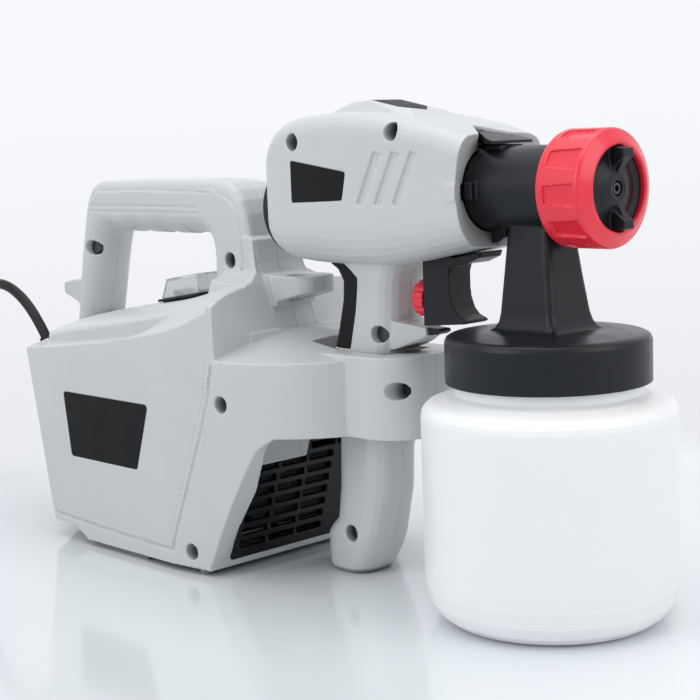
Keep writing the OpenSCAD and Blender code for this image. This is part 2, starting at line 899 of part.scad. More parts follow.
// Places along the lead, from inside the gland to the start of the coil
cord_points = [
    [-186.3, -28, 80.8], [-194, -28, 90], [-201.7, -28, 99.2], [-208.1, -28, 106.9], [-216.4, -28, 116.4],
    [-225.5, -28, 124.8], [-236, -28, 131.6], [-249, -28, 136.6], [-263, -28, 137.6], [-277, -28, 133],
    [-288.5, -28.2, 122.5], [-296, -28.6, 108], [-301, -29, 91], [-304.5, -29.4, 73.5], [-306.5, -29.8, 56],
    [-309, -30.2, 39.5], [-313.5, -30.5, 24.5], [-320.5, -30.7, 12.5], [-329, -30.8, 5.4], [-338.6, -30.8, 3.05]
];

// Points on a smooth curve through the given points, s to a span
function spline_point(p, i, t) = let (
    n = len(p),
    a = p[max(i - 1, 0)], b = p[i], c = p[min(i + 1, n - 1)], d = p[min(i + 2, n - 1)]
) 0.5 * (2 * b + (c - a) * t + (2 * a - 5 * b + 4 * c - d) * t * t + (3 * b - a - 3 * c + d) * t * t * t);
function spline(p, s) = concat(
    [for (i = [0:len(p) - 2], k = [0:s - 1]) spline_point(p, i, k / s)],
    [p[len(p) - 1]]
);

// Tube of radius r with a given number of sides, swept along the points
module tube(path, r, sides) {
    n = len(path);
    loft([
        for (i = [0:n - 1]) let (
            step = path[min(i + 1, n - 1)] - path[max(i - 1, 0)],
            t = step / norm(step),
            u = cross([0, 0, 1], t) / norm(cross([0, 0, 1], t)),
            v = cross(t, u)
        ) [for (k = [0:sides - 1]) let (a = 360 * k / sides) path[i] + r * cos(a) * u + r * sin(a) * v]
    ]);
}

module cord_run() {
    on_origin()
    color([0.06, 0.06, 0.07])
        tube(spline(cord_points, 2), cord_d / 2, 10);
}

coil_pitch = cord_d + 1.6;
coil_centre = [-345, -30.8 - coil_in_r - coil_turns * coil_pitch];
coil_steps = 24;
coil_low_z = cord_d / 2 - 0.1;
coil_out_r = coil_in_r + coil_turns * coil_pitch;
// The coil winds in on the ground, climbs in half a turn, and winds out again on top
function coil_point(turn) = let (
    inward = turn < coil_turns,
    climb = turn >= coil_turns && turn < coil_turns + 0.5,
    r = inward ? coil_in_r + (coil_turns - turn) * coil_pitch
        : (climb ? coil_in_r : coil_in_r + (turn - coil_turns - 0.5) * coil_pitch),
    lift = inward ? 0 : (climb ? (1 - cos(360 * (turn - coil_turns))) / 2 : 1),
    a = 360 * turn + 90
) [coil_centre[0] + r * cos(a), coil_centre[1] + r * sin(a), coil_low_z + lift * coil_pitch];
coil_turning = [for (i = [0:(2 * coil_turns + 0.5) * coil_steps]) coil_point(i / coil_steps)];
coil_first = coil_turning[0];
coil_last = coil_turning[len(coil_turning) - 1];
coil_tail = 24;
coil_path = concat([coil_first + [cord_d, 0, 0]], coil_turning, [coil_last + [coil_tail, 0, 0]]);
coil_gaps = [
    for (i = [0:len(coil_path) - 1], j = [i:len(coil_path) - 1])
        if (j > i + coil_steps / 2) norm(coil_path[i] - coil_path[j]) - cord_d
];
echo(least_gap_in_the_coil = min(coil_gaps));

module cord_coil() {
    on_origin()
    color([0.06, 0.06, 0.07])
        tube(coil_path, cord_d / 2, 6);
}

// The plug lies on the ground at the outer end of the coil
plug_half = coil_last[2];
blade_gap = 12.7;
module mains_plug() {
    on_origin()
    color([0.06, 0.06, 0.07])
        translate([coil_last[0] + coil_tail + 0.1, coil_last[1], plug_half])
            rotate([0, 90, 0]) rotate([0, 0, 90]) {
                difference() {
                    union() {
                        cylinder(r1 = cord_d / 2 + 1, r2 = 7.5, h = 16, $fn = 32);
                        translate([0, 0, 15])
                            cylinder(r1 = 8, r2 = plug_half, h = 6, $fn = 32);
                        translate([-13, -plug_half, 21])
                            cube([26, 2 * plug_half, 22]);
                    }
                    for (side = [-1, 1])
                        translate([side * 14.5, 0, 20])
                            cylinder(r = 3.4, h = 12, $fn = 32);
                }
                for (side = [-1, 1])
                    translate([side * blade_gap / 2 - 0.75, -3.2, 42])
                        cube([1.5, 6.4, 18.5]);
            }
}

// ---------- Gun housing ----------

module gun_body(inset) {
    loft([
        for (s = gun_sections) [
            for (p = rounded_box(2 * (s[3] - inset), s[2] - s[1] - 2 * inset, s[4] - inset, s[5] - inset, 7))
                [s[0] + (s == gun_sections[0] ? inset : 0), p[0], (s[1] + s[2]) / 2 + p[1]]
        ]
    ]);
}

module grip_body(inset) {
    loft([
        for (s = grip_sections) [
            for (p = rounded(s[2] - s[1] - 2 * inset, 2 * (s[3] - inset), s[4] - inset * 0.6, 6))
                [(s[1] + s[2]) / 2 + p[0], p[1], s[0] + (s == grip_sections[0] ? inset : 0)]
        ]
    ]);
}

hump_top = [[40, 233], [53, 240.4], [66, 241.3], [94, 235.4], [108, 228]];
module hump() {
    hull() {
        side_profile([[38, 226], [40, 234], [108, 228], [110, 222]], 36);
        side_profile(concat(hump_top, [[108, 224], [40, 228]]), 24);
    }
}

module guard_beak() {
    hull() {
        side_profile([[70, 118.5], [77, 119], [77, 133], [70, 133]], 22);
        side_profile([[77, 119], [88, 122.6], [94, 126.4], [94, 130.4], [77, 132.5]], 11);
    }
}

rim_arc_r = 62;
rim_x = 138;
module front_rim_cuts() {
    // Concave rim seen from the side
    rod_y(rim_x + rim_arc_r, axis_z, rim_arc_r, -50, 50);
    // Bevel round the barrel
    about_axis([[0, rim_x - 5], [barrel_r + 1.5, rim_x - 5], [gun_half + 4, rim_x + 2], [gun_half + 4, 200], [0, 200]]);
    // Bore for the barrel
    rod_x(axis_z, barrel_r + gap, bayonet_x, 200);
    // Notch in the roof
    translate([0, 0, axis_z + 12])
        linear_extrude(40)
            polygon([[122, 0], [143, 17], [170, 17], [170, -17], [143, -17]]);
    // Lock notch
    translate([rim_x - 6, -gun_half - 1, axis_z - 4.5])
        cube([20, 13, 7]);
}

gun_screw_places = [[29, 222, gun_half], [98, 225.5, gun_half], [70, 126.5, grip_half + 1], [47, 22, grip_half + 1]];
gun_screw_seat = 8;
gun_wall = 2.4;
module grip_region(grow) {
    side_profile([
        [8, 168 + grow], [24 + grow, 166.5 + grow], [50 + grow, 161 + grow], [57.5 + grow, 154],
        [55 + grow, 137], [50.4 + grow, 118 - grow], [10, 118 - grow]
    ], 60);
}

// Space of the soft inlay in the back of the grip
module inlay_space(grow) {
    difference() {
        intersection() {
            grip_body(0.05 - grow * 2);
            grip_region(grow);
        }
        grip_body(2.2 + grow);
        gun_body(-0.1);
    }
}

module gun_solid() {
    difference() {
        union() {
            gun_body(0);
            grip_body(0);
            hump();
            guard_beak();
        }
        front_rim_cuts();
    }
}

module gun_cavity() {
    difference() {
        union() {
            intersection() {
                gun_body(gun_wall);
                translate([0, -50, 100])
                    cube([bayonet_x, 100, 200]);
            }
            // Room in the grip
            translate([46, -8, 136])
                cube([20, 16, 40]);
            translate([44, -8, 34])
                cube([16, 16, 76]);
        }
        for (place = gun_screw_places)
            rod_y(place[0], place[1], boss_r - 0.5, -50, 50);
        for (side = [-1, 1])
            rod_y(trigger_pivot[0], trigger_pivot[1], 5.5, side > 0 ? 6 : -40, side > 0 ? 40 : -6);
        // Rib behind the trigger's spring
        translate([92.3, -50, 178.4])
            cube([2.4, 100, 9]);
    }
}

module trigger_slot() {
    translate([87, -trigger_w / 2 - 1.2, 150])
        cube([31, trigger_w + 2.4, 26]);
}

module gun_half_shell(side) {
    intersection() {
        difference() {
            gun_solid();
            gun_cavity();
            trigger_slot();
            inlay_space(fit);
            rod_x(axis_z - 10, inlet_bore_r + 4 + fit, -10, 20);
            rod_y(trigger_pivot[0], trigger_pivot[1], 2.5 + run, -26, 26);
            for (place = gun_screw_places) {
                if (side < 0)
                    rod_y(place[0], place[1], recess_r, -60, -gun_screw_seat);
                rod_y(place[0], place[1], screw_shank_r + fit, -gun_screw_seat - 1, 10);
            }
            // Gills
            for (x = [0, 12, 24])
                translate([82 + x, side * gun_half, 203.5])
                    rotate([0, 27, 0])
                        cube([3.6, 3, 28], center = true);
            top_badge_block(fit);
        }
        half_space(side);
    }
}

module gun_shell_left() {
    on_origin()
    color([0.80, 0.81, 0.82])
        difference() {
            gun_half_shell(-1);
            gun_nameplate_block(fit);
        }
}

module gun_shell_right() {
    on_origin()
    color([0.80, 0.81, 0.82])
        gun_half_shell(1);
}

module grip_inlay() {
    on_origin()
    color([0.09, 0.09, 0.10])
        inlay_space(0);
}

gun_plate_outline = [[27.5, 213], [67, 207], [64, 193.5], [27.5, 192]];
module gun_nameplate_block(grow) {
    translate([0, -gun_half + plate_t, 0])
        rotate([90, 0, 0])
            linear_extrude(plate_t + 1)
                offset(1 + grow, $fn = 16)
                    offset(-1)
                        polygon(gun_plate_outline);
}

module gun_nameplate() {
    on_origin()
    color([0.10, 0.10, 0.11])
        intersection() {
            gun_nameplate_block(0);
            gun_body(0.02);
        }
}

module top_badge_block(grow) {
    intersection() {
        translate([0, 0, 225])
            linear_extrude(30)
                offset(grow)
                    polygon([[52, -4], [58, -10], [84, -10], [93, 0], [84, 10], [58, 10], [52, 4]]);
        side_profile([[50, 238.4 - grow], [66, 240.3 - grow], [95, 234.2 - grow], [95, 250], [50, 250]], 24);
    }
}

module top_badge() {
    on_origin()
    color([0.10, 0.10, 0.11])
        intersection() {
            top_badge_block(0);
            hump();
        }
}

module air_inlet() {
    inlet_z = axis_z - 10;
    on_origin()
    color([0.07, 0.07, 0.08])
        translate([0, 0, 0])
            difference() {
                union() {
                    rod_x(inlet_z, inlet_r, -1.5, 2.9);
                    rod_x(inlet_z, inlet_bore_r + 4, 2, 20);
                }
                rod_x(inlet_z, inlet_bore_r, -5, 16.5);
                rod_x(inlet_z, inlet_bore_r - 3, 10, 30);
            }
}

module gun_air_duct() {
    inlet_z = axis_z - 10;
    on_origin()
    color([0.65, 0.66, 0.68])
        difference() {
            hull() {
                rod_x(inlet_z, inlet_bore_r + 2, 20.1, 24);
                rod_x(axis_z - 2, inlet_bore_r + 4, 88, 92);
            }
            hull() {
                rod_x(inlet_z, inlet_bore_r, 20, 24);
                rod_x(axis_z - 2, inlet_bore_r + 2, 88, 93);
            }
        }
}

module gun_screws() {
    on_origin()
    color([0.25, 0.25, 0.27])
        for (place = gun_screw_places) {
            rod_y(place[0], place[1], screw_head_r, -gun_screw_seat - 3, -gun_screw_seat - 0.1);
            rod_y(place[0], place[1], screw_shank_r, -gun_screw_seat - 0.2, 9);
        }
}

module guard_tip() {
    on_origin()
    color([0.10, 0.10, 0.11])
        side_profile([[94.1, 126.5], [99.6, 127.2], [102, 128.6], [101.4, 130.1], [94.1, 130.4]], 8);
}

// ---------- Trigger ----------

trigger_outline = [
    [trigger_rear, trigger_low_z], [121, trigger_low_z + 2.3], [122.8, trigger_low_z + 3.3],
    [121.4, trigger_low_z + 4.4], [117.6, trigger_low_z + 5.8], [114.4, trigger_low_z + 9],
    [112.4, trigger_low_z + 14], [trigger_front + 1.6, trigger_low_z + 20], [trigger_front + 1.8, 158],
    [trigger_front + 3, 161.5], [118, 162.4], [124, 163], [131.4, 166], [132.6, 169],
    [120, 166.6], [trigger_front + 4, 165.6], [trigger_front + 4, 178], [trigger_rear + 4, 178],
    [trigger_rear, 166]
];
lever_w = 8;
module trigger() {
    on_origin()
    color([0.09, 0.10, 0.11])
        difference() {
            union() {
                side_profile(trigger_outline, trigger_w);
                side_profile([[105, 176], [114, 176], [118, trigger_pivot[1]], [112, 225.5], [106, trigger_pivot[1]]], lever_w);
                rod_x(knob_z, 3, knob_x + 0.4, trigger_rear + 2);
            }
            rod_y(trigger_pivot[0], trigger_pivot[1], 2.5 + run, -10, 10);
            rod_x(axis_z, needle_r + 1.2, 90, 130);
            // Hollow underside of the finger hook
            translate([trigger_rear + 4, -trigger_w / 2 + 2.4, 140])
                cube([8, trigger_w - 4.8, 24]);
        }
}

module trigger_pin() {
    on_origin()
    color([0.7, 0.7, 0.72])
        rod_y(trigger_pivot[0], trigger_pivot[1], 2.5, -25, 25);
}

// Helix along +Z as a tube
module helix(r, length, turns, wire, sides) {
    steps = 12;
    n = turns * steps;
    loft([
        for (i = [0:n]) let (
            a = 360 * i / steps,
            c = [r * cos(a), r * sin(a), length * i / n],
            out = [cos(a), sin(a), 0]
        ) [for (k = [0:sides - 1]) let (b = -360 * k / sides) c + wire * cos(b) * out + wire * sin(b) * [0, 0, 1]]
    ]);
}

module trigger_spring() {
    on_origin()
    color([0.7, 0.7, 0.72])
        translate([95.4, 0, 182])
            rotate([0, 90, 0])
                helix(3.2, 9, 5, 0.5, 5);
}

module flow_knob() {
    on_origin()
    color([0.92, 0.18, 0.24])
        translate([0, 0, knob_z])
            rotate([0, 90, 0])
                difference() {
                    translate([0, 0, knob_x])
                        cylinder(r = knob_r, h = knob_len, $fn = 48);
                    translate([0, 0, knob_x - 1])
                        cylinder(r = 3 + run, h = 20, $fn = 32);
                    for (i = [0:11])
                        rotate([0, 0, i * 30])
                            translate([knob_r + 0.7, 0, knob_x - 1])
                                cylinder(r = 1.4, h = 20, $fn = 16);
                }
}

// ---------- Spray head ----------

// Sections of the stem: [z, reach to the rear, reach to the front, half width]
stem_sections = [
    [lid_top_z - 1, 27, 26, 24.5], [lid_top_z + 1.2, 21, 19.5, 19.5], [lid_top_z + 3, 18.4, 16.8, 17],
    [lid_top_z + 5.5, 17.1, 15.4, 15.8], [lid_top_z + 9.5, 16.5, 14.3, 15], [axis_z - 38, 15.6, 11.7, 13],
    [axis_z - 18, 14.6, 9.4, 10.8], [axis_z - 2, 14, 8.2, 9.6]
];
module stem() {
    loft([
        for (s = stem_sections) [
            for (p = rounded(s[1] + s[2], 2 * s[3], 3, 4)) [cup_x + (s[2] - s[1]) / 2 + p[0], p[1], s[0]]
        ]
    ]);
}

module spray_head() {
    on_origin()
    color([0.10, 0.11, 0.12])
        difference() {
            union() {
                difference() {
                    union() {
                        about_axis([
                            [0, barrel_rear], [bayonet_r - 3, barrel_rear], [bayonet_r - 3, barrel_rear + 1],
                            [bayonet_r, barrel_rear + 1], [bayonet_r, bayonet_x - 0.6], [barrel_r, bayonet_x - 0.6],
                            [barrel_r, nut_x + 1], [thread_r, nut_x + 1.5], [thread_r, barrel_front],
                            [0, barrel_front]
                        ]);
                        stem();
                        translate([cup_x, 0, 0])
                            rotate_extrude($fn = 96)
                                polygon([
                                    [0, lid_low_z + 1], [lid_r, lid_low_z], [lid_r, lid_top_z - 3],
                                    [lid_r - 1, lid_top_z - 0.9], [lid_r - 3, lid_top_z],
                                    [30, lid_top_z + 1.6], [0, lid_top_z + 1.6]
                                ]);
                        // Bayonet lugs in front of the rim of the gun
                        translate([135.9, -8, axis_z + 14])
                            cube([10, 16, 10.4]);
                        translate([135.9, -26, axis_z - 4.2])
                            cube([4.6, 10, 8]);
                        // Lock tongue under the barrel
                        side_profile([[137.5, 173], [141, 173], [146, 176], [147, 182], [137.5, 182]], 12);
                    }
                    // Air passage
                    rod_x(axis_z, barrel_r - 3.5, barrel_rear - 1, barrel_front + 1);
                    // Inside of the lid
                    translate([cup_x, 0, lid_low_z - 1])
                        cylinder(r = neck_r + 0.5, h = 129.2 - lid_low_z + 1, $fn = 96);
                }
                // Fluid tube on the axis and its riser
                rod_x(axis_z, fluid_r, barrel_rear + 6, barrel_front - 4);
                translate([cup_x, 0, axis_z - 22])
                    cylinder(r = 7.5, h = 22, $fn = 32);
            }
            rod_x(axis_z, 2.6, cup_x - 4, barrel_front + 1);
            rod_x(axis_z, 4.2, barrel_rear, cup_x - 20);
            rod_x(axis_z, needle_r + 0.3, barrel_rear, cup_x);
            translate([cup_x, 0, 100])
                cylinder(r = tube_r + 0.05, h = 45, $fn = 32);
            translate([cup_x, 0, 140])
                cylinder(r = 2.6, h = axis_z - 140, $fn = 32);
        }
}

module cup_gasket() {
    on_origin()
    color([0.85, 0.85, 0.83])
        translate([cup_x, 0, 127.2])
            difference() {
                cylinder(r = neck_r - 0.1, h = 1.9, $fn = 96);
                translate([0, 0, -1])
                    cylinder(r = neck_r - 5, h = 4, $fn = 96);
            }
}

module suction_tube() {
    on_origin()
    color([0.88, 0.90, 0.90])
        translate([cup_x, 0, 6])
            difference() {
                cylinder(r = tube_r, h = 138.8, $fn = 32);
                translate([0, 0, -1])
                    cylinder(r = tube_r - 1.2, h = 142, $fn = 32);
                translate([-10, -10, -1])
                    rotate([0, 20, 0])
                        translate([-6, 0, -6])
                            cube([30, 20, 6]);
            }
}

module needle_packing() {
    on_origin()
    color([0.75, 0.62, 0.35])
        difference() {
            rod_x(axis_z, 4.1, barrel_rear + 6.1, barrel_rear + 9);
            rod_x(axis_z, needle_r + run, 100, 150);
        }
}

needle_rear = 100.8;
module needle() {
    on_origin()
    color([0.75, 0.75, 0.77])
        about_axis([
            [0, needle_rear], [4, needle_rear], [4, needle_rear + 4], [needle_r, needle_rear + 4],
            [needle_r, 138], [3.4, 138], [3.4, 140], [needle_r, 140], [needle_r, 196],
            [0.5, 202], [0, 202]
        ]);
}

module needle_spring() {
    on_origin()
    color([0.7, 0.7, 0.72])
        translate([131.2, 0, axis_z])
            rotate([0, 90, 0])
                helix(2.9, 5.8, 4, 0.4, 5);
}

module fluid_nozzle() {
    on_origin()
    color([0.72, 0.72, 0.74])
        about_axis([
            [2.2, barrel_front - 3.8], [9, barrel_front - 3.8], [9, barrel_front - 0.5], [4.5, barrel_front + 3],
            [2.6, barrel_front + 6.5], [2.6, 204.6], [1.4, 204.6], [1.4, 202.5], [2.2, 200]
        ]);
}

// ---------- Cup ----------

cup_r = cup_d / 2;
cup_outer = [
    [0, 1.6], [20, 0.6], [24, 0], [cup_r - 14, 0], [cup_r - 10, 1], [cup_r - 5.5, 4.5], [cup_r - 2, 10],
    [cup_r - 0.4, 17], [cup_r, 24], [cup_r, 95.5], [cup_r - 0.5, 98], [cup_r - 1.7, 100], [cup_r - 3.6, 101.6],
    [cup_r - 6.2, 102.6], [cup_r - 10, 103.4], [neck_r + 1.5, 104.4], [neck_r, 105.6], [neck_r, 127]
];
cup_inner = [
    [neck_r - cup_wall, 127], [neck_r - cup_wall, 104], [cup_r - 10, 101.4], [cup_r - 6.6, 100.6],
    [cup_r - 4.4, 99.6], [cup_r - 2.8, 97.6], [cup_r - cup_wall - 0.2, 95.2], [cup_r - cup_wall, 93],
    [cup_r - cup_wall, 24], [cup_r - cup_wall - 0.4, 17.6], [cup_r - cup_wall - 2, 11], [cup_r - 7, 6.2],
    [cup_r - 11, 3], [cup_r - 14.5, cup_wall], [24, cup_wall], [20, cup_wall + 0.6], [0, cup_wall + 1.6]
];
module cup() {
    on_origin()
    color([0.94, 0.96, 0.98, 0.8])
        translate([cup_x, 0, 0])
            rotate_extrude($fn = 96)
                polygon(concat(cup_outer, cup_inner));
}

// ---------- Union nut and air cap ----------

module union_nut() {
    on_origin()
    color([0.93, 0.22, 0.30])
        difference() {
            about_axis([
                [thread_r + run, nut_x], [nut_r - 1.6, nut_x], [nut_r - 0.4, nut_x + 0.5],
                [nut_r, nut_x + 1.6], [nut_r, nut_end - 4.4], [nut_r - 0.6, nut_end - 3.2],
                [nut_open_r + 1.8, nut_end - 0.2], [nut_open_r + 0.8, nut_end], [nut_open_r, nut_end - 0.6],
                [nut_open_r, nut_end - 3.2], [22.2, nut_end - 3.8], [22.2, nut_end - 10.4],
                [thread_r + run, nut_end - 10.6]
            ]);
            // Grip flats, wider towards the front
            for (i = [0:nut_flats - 1])
                translate([nut_x + 4.5, 0, axis_z])
                    rotate([22 + i * 360 / nut_flats, 0, 0])
                        translate([0, 0, nut_r - 1.5])
                            linear_extrude(5)
                                polygon([[0, -4], [16.5, -5], [16.5, 5], [0, 4]]);
        }
}

horn_w = 7;
module air_cap() {
    on_origin()
    color([0.08, 0.08, 0.09])
        difference() {
            union() {
                about_axis([
                    [10.5, cap_seat], [21.8, cap_seat], [21.8, nut_end - 4.4], [nut_open_r - 0.5, nut_end - 4.4],
                    [nut_open_r - 0.5, nut_end - 2.6], [14, nut_end - 3.4], [8, nut_end - 1.5], [5.2, nut_end - 1],
                    [3.4, nut_end - 1.4], [3.4, 203], [10.5, 200]
                ]);
                for (side = [-1, 1])
                    translate([0, 0, axis_z])
                        rotate([side > 0 ? 0 : 180, 0, 0])
                            translate([0, -horn_w / 2, 0])
                                rotate([90, 0, 0])
                                    mirror([0, 0, 1])
                                        linear_extrude(horn_w)
                                            polygon([[203, 8], [211, 13.6], [211, 17.4], [207, 18.1], [200.5, 18.1], [200.5, 8]]);
            }
            for (side = [-1, 1])
                translate([0, 0, axis_z + side * 12.4])
                    rod_x(0, 0.9, 202, 215);
        }
}

base_shell_left();
base_shell_right();
intake_grille();
filter_foam();
turbine_housing();
turbine_impeller();
motor_shaft();
motor_body();
motor_bearings();
motor_mount();
outlet_duct();
hose_outlet();
switch_bezel();
switch_rocker();
switch_boot();
base_feet();
base_screws();
base_nameplate();
cord_gland();
cord_run();
cord_coil();
mains_plug();
gun_shell_left();
gun_shell_right();
grip_inlay();
gun_nameplate();
top_badge();
air_inlet();
gun_air_duct();
gun_screws();
guard_tip();
trigger();
trigger_pin();
trigger_spring();
flow_knob();
spray_head();
cup_gasket();
suction_tube();
needle_packing();
needle();
needle_spring();
fluid_nozzle();
cup();
union_nut();
air_cap();
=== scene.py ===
"""Looks of the turbine paint sprayer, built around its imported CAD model. Metres, in the row frame."""

import json
import math

import bmesh
import bpy
import numpy as np
from mathutils import Matrix, Vector


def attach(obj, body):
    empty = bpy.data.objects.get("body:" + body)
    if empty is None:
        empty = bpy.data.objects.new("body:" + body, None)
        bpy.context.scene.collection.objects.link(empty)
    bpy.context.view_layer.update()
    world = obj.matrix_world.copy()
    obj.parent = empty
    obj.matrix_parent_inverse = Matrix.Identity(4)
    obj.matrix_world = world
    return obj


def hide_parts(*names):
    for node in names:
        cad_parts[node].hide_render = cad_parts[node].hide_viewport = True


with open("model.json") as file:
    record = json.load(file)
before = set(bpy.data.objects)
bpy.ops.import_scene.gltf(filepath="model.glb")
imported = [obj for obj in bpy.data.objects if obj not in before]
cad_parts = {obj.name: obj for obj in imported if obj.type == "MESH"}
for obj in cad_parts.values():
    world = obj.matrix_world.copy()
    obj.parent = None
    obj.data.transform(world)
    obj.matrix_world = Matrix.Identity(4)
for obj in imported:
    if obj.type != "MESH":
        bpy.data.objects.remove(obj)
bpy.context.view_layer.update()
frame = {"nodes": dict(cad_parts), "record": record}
MM = 0.001
NODES = frame["nodes"]

# ---------------------------------------------------------------- camera

CAMERA_AT = (601.9 * MM, -549.3 * MM, 226.1 * MM)
AZIMUTH, PITCH, ROLL = 46.35, 8.0, -2.0
FOCAL_PX, FRAME_PX, SENSOR_MM = 1550.0, 700.0, 36.0


def make_camera():
    data = bpy.data.cameras.new("camera")
    data.sensor_width = SENSOR_MM
    data.lens = SENSOR_MM * FOCAL_PX / FRAME_PX
    data.clip_start, data.clip_end = 0.01, 20.0
    cam = bpy.data.objects.new("camera", data)
    bpy.context.collection.objects.link(cam)
    a, e = math.radians(AZIMUTH), math.radians(PITCH)
    back = Vector((math.sin(a) * math.cos(e), -math.cos(a) * math.cos(e), math.sin(e)))
    right = Vector((math.cos(a), math.sin(a), 0))
    up = back.cross(right)
    turn = Matrix((right, up, back)).transposed() @ Matrix.Rotation(math.radians(ROLL), 3, "Z")
    cam.matrix_world = Matrix.Translation(CAMERA_AT) @ turn.to_4x4()
    bpy.context.scene.camera = cam


make_camera()

# ---------------------------------------------------------------- materials


def new_material(name):
    m = bpy.data.materials.new(name)
    m.use_nodes = True
    tree = m.node_tree
    shader = next(n for n in tree.nodes if n.type == "BSDF_PRINCIPLED")
    return m, tree, shader


def noise(tree, scale, detail=2.0, stretch=None):
    where = tree.nodes.new("ShaderNodeTexCoord")
    out = where.outputs["Object"]
    if stretch:
        mapping = tree.nodes.new("ShaderNodeMapping")
        mapping.inputs["Scale"].default_value = stretch
        tree.links.new(out, mapping.inputs["Vector"])
        out = mapping.outputs["Vector"]
    n = tree.nodes.new("ShaderNodeTexNoise")
    n.inputs["Scale"].default_value = scale
    n.inputs["Detail"].default_value = detail
    n.inputs["Roughness"].default_value = 0.5
    tree.links.new(out, n.inputs["Vector"])
    return n.outputs["Fac"]


def ranged(tree, source, low, high, start=0.3, stop=0.7):
    r = tree.nodes.new("ShaderNodeMapRange")
    for key, value in (("From Min", start), ("From Max", stop), ("To Min", low), ("To Max", high)):
        r.inputs[key].default_value = value
    tree.links.new(source, r.inputs["Value"])
    return r.outputs["Result"]


def mixed(tree, factor, first, second):
    mix = tree.nodes.new("ShaderNodeMix")
    mix.data_type = "RGBA"
    mix.inputs["A"].default_value = (*first, 1)
    if isinstance(second, tuple):
        mix.inputs["B"].default_value = (*second, 1)
    else:
        tree.links.new(second, mix.inputs["B"])
    tree.links.new(factor, mix.inputs["Factor"])
    return mix.outputs["Result"]


def bumped(tree, shader, source, distance):
    bump = tree.nodes.new("ShaderNodeBump")
    bump.inputs["Strength"].default_value = 1.0
    bump.inputs["Distance"].default_value = distance
    tree.links.new(source, bump.inputs["Height"])
    tree.links.new(bump.outputs["Normal"], shader.inputs["Normal"])


# Painted highlight on convex edges: pointiness range, colour gain and lift
PAINTED_HIGHLIGHT_RANGE, PAINTED_HIGHLIGHT_GAIN, PAINTED_HIGHLIGHT_LIFT = (0.51, 0.56), 1.25, 0.02
# Painted shade in hollows: occlusion reach, range and darkening factor
PAINTED_SHADE_REACH, PAINTED_SHADE_RANGE, PAINTED_SHADE_FACTOR = 0.014, (0.08, 0.42), 0.16
GLOSS_SPREAD, COAT_ROUGH = 0.05, 0.12


def moulded_plastic(name, color, rough, grain=900.0, depth=0.00002, shade=0.93, coat=0.0, shine=0.5):
    """Moulded plastic: fine grain, faint clouds in colour and gloss, a painted highlight on edges, painted
    shade in hollows.
    """
    m, tree, shader = new_material(name)
    shader.inputs["Specular IOR Level"].default_value = shine
    cloud = noise(tree, 28.0, 3.0)
    base = mixed(tree, ranged(tree, cloud, 0, 1), tuple(c * shade for c in color), color)
    geometry = tree.nodes.new("ShaderNodeNewGeometry")
    # Painted highlight: sharp convex edges get a lighter colour
    edge = ranged(tree, geometry.outputs["Pointiness"], 0.0, 0.10, *PAINTED_HIGHLIGHT_RANGE)
    lift = tree.nodes.new("ShaderNodeMix")
    lift.data_type = "RGBA"
    tree.links.new(edge, lift.inputs["Factor"])
    tree.links.new(base, lift.inputs["A"])
    lift.inputs["B"].default_value = (*(min(1.0, c * PAINTED_HIGHLIGHT_GAIN + PAINTED_HIGHLIGHT_LIFT) for c in color), 1)
    # Painted shade: hollows, creases and gaps between parts darkened by ambient occlusion
    occlusion = tree.nodes.new("ShaderNodeAmbientOcclusion")
    occlusion.samples = 8
    occlusion.inputs["Distance"].default_value = PAINTED_SHADE_REACH
    hollow = ranged(tree, occlusion.outputs["AO"], 0, 1, *PAINTED_SHADE_RANGE)
    painted_shade_color = tuple(c * PAINTED_SHADE_FACTOR for c in color)
    tree.links.new(mixed(tree, hollow, painted_shade_color, lift.outputs["Result"]), shader.inputs["Base Color"])
    gloss = ranged(tree, noise(tree, 60.0, 3.0), rough - GLOSS_SPREAD, rough + GLOSS_SPREAD)
    tree.links.new(gloss, shader.inputs["Roughness"])
    shader.inputs["Coat Weight"].default_value = coat
    shader.inputs["Coat Roughness"].default_value = COAT_ROUGH
    bumped(tree, shader, noise(tree, grain, 1.0), depth)
    return m


METAL_SHADE, METAL_GLOSS = 0.86, (0.8, 1.3)


def metal(name, color, rough, stretch=(1, 1, 1), grain=600.0):
    """Bare metal with a fine grain that can be drawn out along an axis, as turning leaves it."""
    m, tree, shader = new_material(name)
    shader.inputs["Metallic"].default_value = 1.0
    brushed = noise(tree, grain, 2.0, stretch=stretch)
    tint = mixed(tree, ranged(tree, brushed, 0, 1), tuple(c * METAL_SHADE for c in color), color)
    tree.links.new(tint, shader.inputs["Base Color"])
    gloss = ranged(tree, noise(tree, 90.0), *(rough * share for share in METAL_GLOSS))
    tree.links.new(gloss, shader.inputs["Roughness"])
    bumped(tree, shader, brushed, 0.00001)
    return m


def milky_plastic(name):
    """Translucent polyethylene of the cup."""
    m, tree, shader = new_material(name)
    cloud = noise(tree, 18.0, 3.0)
    tint = mixed(tree, ranged(tree, cloud, 0, 1), (0.96, 0.975, 0.985), (0.975, 0.985, 0.99))
    tree.links.new(tint, shader.inputs["Base Color"])
    shader.inputs["Subsurface Weight"].default_value = 0.25
    shader.inputs["Subsurface Radius"].default_value = (1.0, 1.0, 1.0)
    shader.inputs["Subsurface Scale"].default_value = 0.005
    shader.inputs["IOR"].default_value = 1.5
    tree.links.new(ranged(tree, noise(tree, 40.0), 0.30, 0.42), shader.inputs["Roughness"])
    bumped(tree, shader, noise(tree, 350.0, 2.0), 0.00003)
    return m


def clear_plastic(name):
    """Clear, slightly hazy cover of the switch."""
    m, tree, shader = new_material(name)
    shader.inputs["Base Color"].default_value = (0.92, 0.95, 0.95, 1)
    shader.inputs["Transmission Weight"].default_value = 0.75
    shader.inputs["IOR"].default_value = 1.42
    tree.links.new(ranged(tree, noise(tree, 120.0), 0.10, 0.26), shader.inputs["Roughness"])
    bumped(tree, shader, noise(tree, 150.0), 0.00008)
    return m


